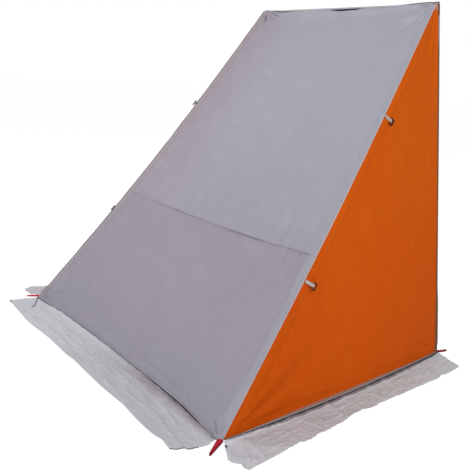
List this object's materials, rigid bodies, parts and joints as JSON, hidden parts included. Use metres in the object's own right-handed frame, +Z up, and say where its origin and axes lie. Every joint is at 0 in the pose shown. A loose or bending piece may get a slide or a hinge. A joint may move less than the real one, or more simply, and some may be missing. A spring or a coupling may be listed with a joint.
{
  "type": "tailgate tent",
  "caption": "Wedge-shaped tailgate tent with a sloping front panel, flat side walls, a zipped back flap, upright poles, peg loops and mud flaps on the ground.",
  "frame": {"origin": "on the ground, in the middle of the area that the tent and its mud flaps cover", "axes": "+Z up, +X along the width to the right when facing the sloping front panel, +Y from the front hem to the upright back flap"},
  "size_m": [2.42, 1.8756, 1.958],
  "materials": {
    "grey_fabric": "matte",
    "lower_grey_fabric": "matte",
    "orange_fabric": "matte",
    "skirt_fabric": "matte",
    "light_tape": "matte",
    "dark_cord": "matte",
    "grey_webbing": "matte",
    "red_webbing": "matte",
    "black_plastic": "satin",
    "zip": "satin",
    "bright_metal": "gloss",
    "steel": "satin",
    "rubber": "matte",
    "elastic_cord": "matte"
  },
  "bodies": {
    "canopy": {"slope_panel_upper": "grey_fabric", "slope_panel_lower": "lower_grey_fabric", "side_panel_left": "orange_fabric", "side_panel_right": "orange_fabric", "ridge_strap": "light_tape", "edge_tape_left": "light_tape", "edge_tape_right": "light_tape", "hem_cord_front": "dark_cord", "hem_cord_left": "dark_cord", "hem_cord_right": "dark_cord", "hem_tape_left": "light_tape", "hem_tape_right": "light_tape", "back_binding_left": "dark_cord", "back_binding_right": "dark_cord", "eyelet_left": "bright_metal", "eyelet_right": "bright_metal", "guy_tab_left_upper": "grey_webbing", "guy_tab_left_lower": "grey_webbing", "guy_tab_right_upper": "grey_webbing", "guy_tab_right_lower": "grey_webbing", "zip_fixed_left": "zip", "zip_fixed_right": "zip"},
    "back_flap": {"back_flap": "grey_fabric", "back_hem": "light_tape", "zip_flap_left": "zip", "zip_flap_right": "zip"},
    "zip_slider_left": {"zip_slider_left": "black_plastic"},
    "zip_slider_right": {"zip_slider_right": "black_plastic"},
    "zip_puller_left": {"zip_puller_left": "black_plastic"},
    "zip_puller_right": {"zip_puller_right": "black_plastic"},
    "skirt_front": {"skirt_front": "skirt_fabric", "drawcord_tail": "dark_cord"},
    "skirt_left": {"skirt_left": "skirt_fabric"},
    "skirt_right": {"skirt_right": "skirt_fabric"},
    "pole_top_left": {"pole_top_left": "steel", "shock_cord_left": "elastic_cord"},
    "pole_middle_left": {"pole_middle_left": "steel"},
    "pole_lower_left": {"pole_lower_left": "steel", "pole_foot_left": "rubber"},
    "pole_top_right": {"pole_top_right": "steel", "shock_cord_right": "elastic_cord"},
    "pole_middle_right": {"pole_middle_right": "steel"},
    "pole_lower_right": {"pole_lower_right": "steel", "pole_foot_right": "rubber"},
    "guy_ring_left_upper": {"guy_ring_left_upper": "black_plastic"},
    "guy_ring_left_lower": {"guy_ring_left_lower": "black_plastic"},
    "guy_ring_right_upper": {"guy_ring_right_upper": "black_plastic"},
    "guy_ring_right_lower": {"guy_ring_right_lower": "black_plastic"},
    "peg_loop_front_left": {"peg_loop_front_left": "red_webbing"},
    "peg_loop_front_right": {"peg_loop_front_right": "red_webbing"},
    "peg_loop_back_left": {"peg_loop_back_left": "red_webbing"},
    "peg_loop_back_right": {"peg_loop_back_right": "red_webbing"},
    "tie_left": {"tie_strap_left": "grey_webbing", "tie_toggle_left": "black_plastic"},
    "tie_right": {"tie_strap_right": "grey_webbing", "tie_toggle_right": "black_plastic"}
  },
  "joints": [
    {"name": "flap_lift", "type": "hinge", "parent": "canopy", "child": "back_flap", "pos_m": [0, 0.87266, 1.9477], "axis": [1, 0, 0], "range_deg": [0, 100]},
    {"name": "zip_slide_left", "type": "slide", "parent": "canopy", "child": "zip_slider_left", "axis": [0.1521, 0, 0.9884], "range_m": [0, 1.84]},
    {"name": "zip_slide_right", "type": "slide", "parent": "canopy", "child": "zip_slider_right", "axis": [-0.1521, 0, 0.9884], "range_m": [0, 1.84]},
    {"name": "zip_puller_swing_left", "type": "hinge", "parent": "zip_slider_left", "child": "zip_puller_left", "pos_m": [-0.97492, 0.87426, 0.072], "axis": [1, 0, 0], "range_deg": [0, 150]},
    {"name": "zip_puller_swing_right", "type": "hinge", "parent": "zip_slider_right", "child": "zip_puller_right", "pos_m": [0.97492, 0.87426, 0.072], "axis": [1, 0, 0], "range_deg": [0, 150]},
    {"name": "skirt_front_fold", "type": "hinge", "parent": "canopy", "child": "skirt_front", "pos_m": [0, -0.70764, 0.005], "axis": [-1, 0, 0], "range_deg": [0, 70]},
    {"name": "skirt_left_fold", "type": "hinge", "parent": "canopy", "child": "skirt_left", "pos_m": [-1.006, 0, 0.002], "axis": [0, 1, 0], "range_deg": [0, 75]},
    {"name": "skirt_right_fold", "type": "hinge", "parent": "canopy", "child": "skirt_right", "pos_m": [1.006, 0, 0.002], "axis": [0, -1, 0], "range_deg": [0, 75]},
    {"name": "pole_swing_left", "type": "hinge", "parent": "canopy", "child": "pole_top_left", "pos_m": [-0.685, 0.85766, 1.949], "axis": [-1, 0, 0], "range_deg": [0, 30]},
    {"name": "pole_middle_pull_left", "type": "slide", "parent": "pole_top_left", "child": "pole_middle_left", "axis": [0, 0, -1], "range_m": [0, 0.06], "stiffness_N_per_m": 150, "springref_m": -0.1},
    {"name": "pole_lower_pull_left", "type": "slide", "parent": "pole_middle_left", "child": "pole_lower_left", "axis": [0, 0, -1], "range_m": [0, 0.06], "stiffness_N_per_m": 150, "springref_m": -0.1},
    {"name": "pole_swing_right", "type": "hinge", "parent": "canopy", "child": "pole_top_right", "pos_m": [0.685, 0.85766, 1.949], "axis": [-1, 0, 0], "range_deg": [0, 30]},
    {"name": "pole_middle_pull_right", "type": "slide", "parent": "pole_top_right", "child": "pole_middle_right", "axis": [0, 0, -1], "range_m": [0, 0.06], "stiffness_N_per_m": 150, "springref_m": -0.1},
    {"name": "pole_lower_pull_right", "type": "slide", "parent": "pole_middle_right", "child": "pole_lower_right", "axis": [0, 0, -1], "range_m": [0, 0.06], "stiffness_N_per_m": 150, "springref_m": -0.1},
    {"name": "guy_ring_swing_left_upper", "type": "hinge", "parent": "canopy", "child": "guy_ring_left_upper", "pos_m": [-0.84501, 0.37209, 1.29407], "axis": [0.1216, 0.6002, 0.7906], "range_deg": [-60, 85]},
    {"name": "guy_ring_swing_left_lower", "type": "hinge", "parent": "canopy", "child": "guy_ring_left_lower", "pos_m": [-0.95564, -0.20686, 0.56496], "axis": [0.1161, 0.6455, 0.7549], "range_deg": [-60, 85]},
    {"name": "guy_ring_swing_right_upper", "type": "hinge", "parent": "canopy", "child": "guy_ring_right_upper", "pos_m": [0.80283, 0.43149, 1.33164], "axis": [0.1207, -0.6083, -0.7844], "range_deg": [0, 150]},
    {"name": "guy_ring_swing_right_lower", "type": "hinge", "parent": "canopy", "child": "guy_ring_right_lower", "pos_m": [0.93231, -0.17553, 0.58476], "axis": [0.1174, -0.6354, -0.7632], "range_deg": [0, 150]},
    {"name": "peg_loop_lift_front_left", "type": "hinge", "parent": "canopy", "child": "peg_loop_front_left", "pos_m": [-1.00046, -0.72799, 0.02], "axis": [-0.8191, 0.5736, 0], "range_deg": [0, 80]},
    {"name": "peg_loop_lift_front_right", "type": "hinge", "parent": "canopy", "child": "peg_loop_front_right", "pos_m": [1.00034, -0.72806, 0.02], "axis": [-0.9063, -0.4226, 0], "range_deg": [0, 80]},
    {"name": "peg_loop_lift_back_left", "type": "hinge", "parent": "canopy", "child": "peg_loop_back_left", "pos_m": [-1.00025, 0.87342, 0.02], "axis": [0.9511, 0.309, 0], "range_deg": [0, 80]},
    {"name": "peg_loop_lift_back_right", "type": "hinge", "parent": "canopy", "child": "peg_loop_back_right", "pos_m": [1.00025, 0.87342, 0.02], "axis": [0.9511, -0.309, 0], "range_deg": [0, 80]},
    {"name": "tie_swing_left", "type": "hinge", "parent": "canopy", "child": "tie_left", "pos_m": [-0.35, 0.85766, 1.9477], "axis": [-1, 0, 0], "range_deg": [0, 20]},
    {"name": "tie_swing_right", "type": "hinge", "parent": "canopy", "child": "tie_right", "pos_m": [0.35, 0.85766, 1.9477], "axis": [-1, 0, 0], "range_deg": [0, 20]}
  ]
}
